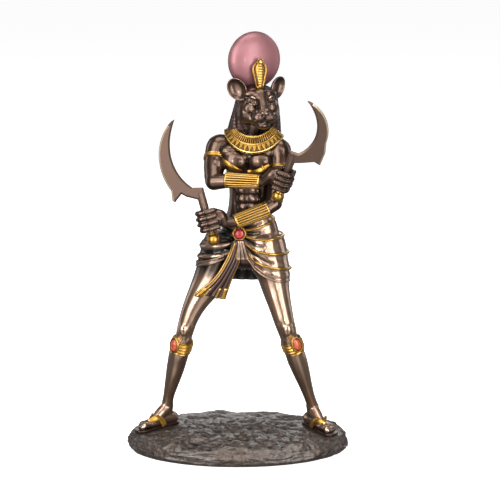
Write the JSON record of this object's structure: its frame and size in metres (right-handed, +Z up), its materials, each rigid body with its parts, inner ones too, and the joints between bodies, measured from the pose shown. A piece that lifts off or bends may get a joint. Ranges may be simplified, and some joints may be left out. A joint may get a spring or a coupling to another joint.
{
  "type": "lion-headed goddess figurine",
  "caption": "Striding lion-headed goddess figurine in antique bronze on an oval rock, crossed arms with sickle swords, pink sun disc on the head.",
  "frame": {"origin": "centre of the rock base's box, on its underside", "axes": "+Z up; -Y is the front, towards the viewer of the picture; +X is the viewer's right"},
  "size_m": [0.152, 0.0914, 0.2844],
  "materials": {
    "dark_bronze": "cold-cast resin with a rubbed antique bronze and gold finish",
    "bronzed_rock": "cold-cast resin, rough grey-brown bronze",
    "satin_pink": "satin metallic pink paint",
    "brown_blade": "satin brown bronze",
    "red_stone": "polished red cabochon"
  },
  "bodies": {
    "root": {"figure": "dark_bronze", "rock_base": "bronzed_rock", "sun_disc": "satin_pink", "khopesh_right": "brown_blade", "khopesh_left": "brown_blade", "belt_stone": "red_stone", "garter_stone_right": "red_stone", "garter_stone_left": "red_stone"}
  },
  "joints": []
}
